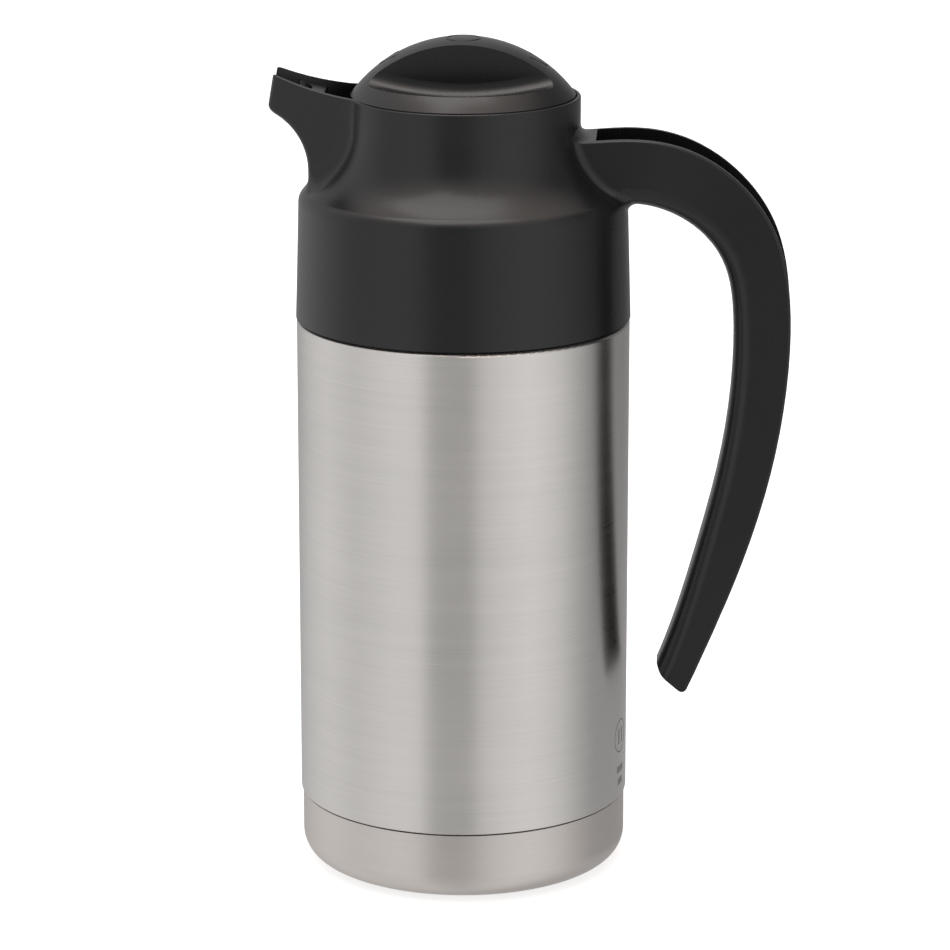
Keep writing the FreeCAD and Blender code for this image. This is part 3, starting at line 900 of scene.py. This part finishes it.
@dataclass
class FootPad:
    """Non-slip pad under the base: ribbed rings round a field of pips."""

    rib_pitch: float = 2.4 * MM
    rib_depth: float = 0.45 * MM
    rib_start: float = 19.0 * MM
    edge_width: float = 2.2 * MM
    edge_round: float = 0.5 * MM
    edge_steps: int = 6
    recess_depth: float = 0.6 * MM
    steps_per_rib: int = 8
    pip_radius: float = 0.9 * MM
    pip_spacing: float = 4.0 * MM
    pip_lift: float = 0.05 * MM     # of the pips' tips over the resting plane
    more_pips: int = 6              # in each ring than in the one inside it
    segments: int = 160

    def underside(self, radius: float) -> list[FlatPoint]:
        """Profile of the underside from the axis outwards, recessed field first, then the ribs.

        Args:
            radius: The pad's outer radius.

        Returns:
            Points of radius and level.
        """
        outer = radius - self.edge_width
        ribs = int((outer - self.rib_start) / self.rib_pitch)
        start = outer - ribs * self.rib_pitch
        profile = [(0.0, self.recess_depth), (start - 2 * self.edge_round, self.recess_depth),
                   (start - self.edge_round, self.recess_depth / 2)]
        for step in range(ribs * self.steps_per_rib + 1):
            reach = start + step * self.rib_pitch / self.steps_per_rib
            wave = 0.5 - 0.5 * math.cos(math.tau * (reach - start) / self.rib_pitch)
            profile.append((reach, self.rib_depth * wave ** 2))
        return profile

    def tread(self) -> bpy.types.Object:
        """The pad in one piece, ribbed underneath and rounded at its lower edge.

        Returns:
            The pad, in place of the plain one.
        """
        low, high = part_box("base_pad")
        radius = width_of("base_pad") / 2
        profile = self.underside(radius)
        for step in range(self.edge_steps + 1):
            turn = math.radians(90.0 * step / self.edge_steps)
            reach = radius - self.edge_round * (1 - math.sin(turn))
            profile.append((reach, low.z + self.edge_round * (1 - math.cos(turn))))
        profile += [(radius, high.z), (0.0, high.z)]
        pad = PAD_RUBBER.dress(lathe(profile, self.segments, "ribbed_pad"))
        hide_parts("base_pad")
        return pad

    def build(self) -> None:
        """Replaces the plain pad with the ribbed one and adds its pips."""
        pieces = [self.tread()]
        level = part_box("base_pad")[0].z + self.pip_lift
        rings = int((self.rib_start - self.pip_spacing) / self.pip_spacing)
        for index in range(1, rings + 1):
            ring = PipRing(f"pad_pips_{index}", self.more_pips * index, index * self.pip_spacing, level,
                           self.pip_radius, self.recess_depth)
            pieces.append(ring.build(PAD_RUBBER))
        attach(pieces, Body.VESSEL)


@dataclass
class PouringCollar:
    """Collar, spout and handle in one moulding, with the deck across the spout and the throat liner."""

    nodes: dict[str, bpy.types.Object]

    def dress(self) -> None:
        """Gives the collar, the deck, the liner and the gaskets their finishes."""
        dress_nodes(self.nodes, {
            "collar": COLLAR_PLASTIC, "spout_bridge": COLLAR_PLASTIC, "throat_liner": LINER_PLASTIC,
            "neck_gasket": SILICONE, "liner_gasket": SILICONE})


@dataclass
class ScrewStopper:
    """Domed lid on a threaded plug, with its seal, and the raised marks on the fin."""

    nodes: dict[str, bpy.types.Object]
    dome_radius: float = 38.0 * MM
    mark_proud: float = 0.16 * MM
    mark_sunk: float = 0.2 * MM
    line_width: float = 0.7 * MM
    ring_radius: float = 4.6 * MM
    ring_steps: int = 64
    arrow_reach: float = 20.5 * MM
    arrow_length: float = 5.2 * MM
    arrow_half_width: float = 3.2 * MM
    arrow_bend: float = 1.0 * MM

    def dress(self) -> None:
        """Gives the lid, the plug and the seal their finishes."""
        dress_nodes(self.nodes, {
            "stopper_cap": LID_PLASTIC, "stopper_core": LINER_PLASTIC, "stopper_floor": LINER_PLASTIC,
            "stopper_insulation": FOAM, "cap_oring": SILICONE, "stopper_seal": SILICONE})

    def build(self) -> None:
        """Adds a plain ring on the fin's crown and a plain arrow head at each end."""
        surface = DomeSurface(self.dome_radius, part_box("stopper_cap")[1].z)
        band = RaisedBand(surface, self.line_width, self.mark_proud, self.mark_sunk)
        made = bmesh.new()
        band.lay(made, circle(self.ring_radius, self.ring_steps))
        crown = from_bmesh(made, "crown_ring", smooth=False)
        made = bmesh.new()
        for way in (-1.0, 1.0):
            tip = way * (self.arrow_reach + self.arrow_length / 2)
            foot = way * (self.arrow_reach - self.arrow_length / 2)
            side = way * self.arrow_half_width
            head = [(tip, 0.0), (foot, side), (foot, -side)]
            band.lay(made, rounded_polygon(head, self.arrow_bend))
        arrows = from_bmesh(made, "fin_arrows", smooth=False)
        attach([LID_PLASTIC.dress(piece) for piece in (crown, arrows)], Body.STOPPER)


# ---- studio --------------------------------------------------------------


@dataclass(frozen=True)
class SoftLight:
    """A rectangular soft light that points at the carafe."""

    name: str
    place: tuple[float, float, float]
    size: tuple[float, float]
    power: float

    def build(self, aim: Vector) -> None:
        """Adds the light to the scene.

        Args:
            aim: The point that it is turned to.
        """
        lamp = bpy.data.lights.new(self.name, "AREA")
        lamp.shape = "RECTANGLE"
        lamp.size, lamp.size_y = self.size
        lamp.energy = self.power
        made = bpy.data.objects.new(self.name, lamp)
        made.location = self.place
        made.rotation_euler = (aim - Vector(self.place)).to_track_quat("-Z", "Y").to_euler()
        bpy.context.scene.collection.objects.link(made)


@dataclass
class Studio:
    """Pale floor, soft surroundings, a soft light and the camera."""

    camera_azimuth: float = 3.2     # degrees from -Y towards +X
    camera_distance: float = 1.1565
    camera_height: float = 0.4209
    camera_pitch: float = 15.03
    camera_yaw: float = 0.16
    lens: float = 162.9             # in millimetres, as is the sensor
    sensor: float = 36.0
    clip: tuple[float, float] = (0.01, 50.0)
    floor_radius: float = 3.0
    floor_steps: int = 128
    floor_tone: float = 0.80
    floor_glow: float = 0.60
    room_gain: float = 0.92
    ceiling: Tone = (1.36, 1.21, 1.13)      # warm light straight above
    ceiling_band: tuple[float, float] = (0.62, 0.92)    # where it fades in, by the slope's sine
    low_tone: float = 0.75          # what the surroundings fade to towards the floor
    low_fade: float = 0.55
    low_band: tuple[float, float] = (-0.325, -0.235)    # where that fades out, by the slope's sine
    surround: Sequence[tuple[float, float]] = (     # bearing in degrees from -Y towards +X, brightness
        (-180.0, 0.42), (-150.0, 0.46), (-125.0, 0.72), (-105.0, 0.84), (-77.0, 0.70), (-45.0, 0.88),
        (-28.0, 0.86), (-18.0, 0.38), (8.0, 0.36), (15.0, 0.66), (30.0, 0.82), (50.0, 0.96),
        (72.0, 0.78), (90.0, 0.46), (105.0, 0.24), (150.0, 0.20), (180.0, 0.42))
    light: SoftLight = SoftLight("overhead", (-0.1, -0.05, 1.3), (0.9, 0.9), 4.0)
    light_aim: float = 0.12         # level of the point that the light is turned to

    def floor(self) -> None:
        """Adds the round pale floor."""
        made = bmesh.new()
        bmesh.ops.create_circle(made, cap_ends=True, segments=self.floor_steps, radius=self.floor_radius)
        plate = from_bmesh(made, "floor", smooth=False)
        plate.data.materials.append(self.floor_material())
        plate.visible_glossy = False

    def floor_material(self) -> bpy.types.Material:
        """Near-white matt floor that glows a little, so that only contact shadows show.

        Returns:
            The floor's material.
        """
        made = bpy.data.materials.new("pale_floor")
        made.use_nodes = True
        bench = Bench(made.node_tree)
        matt = bench.add("ShaderNodeBsdfDiffuse", {"Color": opaque(grey(self.floor_tone))})
        glow = bench.add("ShaderNodeEmission", {"Color": opaque(grey(1.0)), "Strength": self.floor_glow})
        both = bench.add("ShaderNodeAddShader", {0: matt.outputs[0], 1: glow.outputs[0]})
        bench.add("ShaderNodeOutputMaterial", {"Surface": both.outputs[0]})
        return made

    def walls(self, bench: Bench, axes: bpy.types.Node) -> Socket:
        """Brightness of the surroundings by bearing.

        Args:
            bench: The world's tree.
            axes: The node that splits the direction into X, Y and Z.

        Returns:
            The walls' colour.
        """
        behind = bench.math("MULTIPLY", axes.outputs["Y"], -1.0)
        bearing = bench.math("ARCTAN2", axes.outputs["X"], behind)
        share = bench.math("MULTIPLY_ADD", bearing, 1.0 / math.tau, 0.5)
        ramp = bench.add("ShaderNodeValToRGB", {0: share})
        stops = ramp.color_ramp.elements
        turned = [((angle + 180.0) / 360.0, opaque(grey(value))) for angle, value in self.surround]
        stops[0].position, stops[1].position = turned[0][0], turned[-1][0]
        for place, colour in turned[1:-1]:
            stops.new(place).color = colour
        stops[0].color = turned[0][1]
        stops[len(stops) - 1].color = turned[-1][1]
        return ramp.outputs[0]

    def surroundings(self) -> None:
        """Sets a white background and a soft room that only reflections and soft light see."""
        world = bpy.data.worlds.new("soft_room")
        bpy.context.scene.world = world
        world.use_nodes = True
        bench = Bench(world.node_tree)
        way = bench.add("ShaderNodeTexCoord").outputs["Generated"]
        axes = bench.add("ShaderNodeSeparateXYZ", {0: way})
        above = bench.spread(axes.outputs["Z"], 0.0, 1.0, *self.ceiling_band)
        below = bench.spread(axes.outputs["Z"], self.low_fade, 0.0, *self.low_band)
        faded = bench.mix(below, self.walls(bench, axes), grey(self.low_tone))
        lit = bench.mix(above, faded, shade(self.ceiling, 1 / self.room_gain))
        room = bench.add("ShaderNodeBackground", {"Color": lit, "Strength": self.room_gain})
        white = bench.add("ShaderNodeBackground", {"Color": opaque(grey(1.0)), "Strength": 1.0})
        seen = bench.add("ShaderNodeLightPath").outputs["Is Camera Ray"]
        mixed = bench.add("ShaderNodeMixShader", {0: seen, 1: room.outputs[0], 2: white.outputs[0]})
        bench.add("ShaderNodeOutputWorld", {"Surface": mixed.outputs[0]})

    def camera(self) -> None:
        """Adds the camera and makes it the scene's."""
        angle = math.radians(self.camera_azimuth)
        data = bpy.data.cameras.new("camera")
        data.lens = self.lens
        data.sensor_width = self.sensor
        data.clip_start, data.clip_end = self.clip
        made = bpy.data.objects.new("camera", data)
        reach = self.camera_distance
        made.location = (reach * math.sin(angle), -reach * math.cos(angle), self.camera_height)
        made.rotation_euler = (math.radians(90.0 - self.camera_pitch), 0.0,
                               angle - math.radians(self.camera_yaw))
        bpy.context.scene.collection.objects.link(made)
        bpy.context.scene.camera = made

    def build(self) -> None:
        """Adds floor, surroundings, light and camera."""
        bpy.context.scene.view_settings.view_transform = "Standard"
        self.floor()
        self.surroundings()
        self.light.build(Vector((0.0, 0.0, self.light_aim)))
        LOG.info("lit by %s", self.light.name)
        self.camera()


def corners(box: tuple[Vector, Vector]) -> list[list[float]]:
    """A box as plain lists of numbers."""
    return [list(box[0]), list(box[1])]


def main() -> None:
    """Loads the frame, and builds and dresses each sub-assembly."""
    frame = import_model()
    nodes = frame["nodes"]
    vessel = SteelVessel(nodes)
    vessel.dress()
    vessel.build()
    FootPad().build()
    PouringCollar(nodes).dress()
    stopper = ScrewStopper(nodes)
    stopper.dress()
    stopper.build()
    Studio().build()


if __name__ == "__main__":
    main()
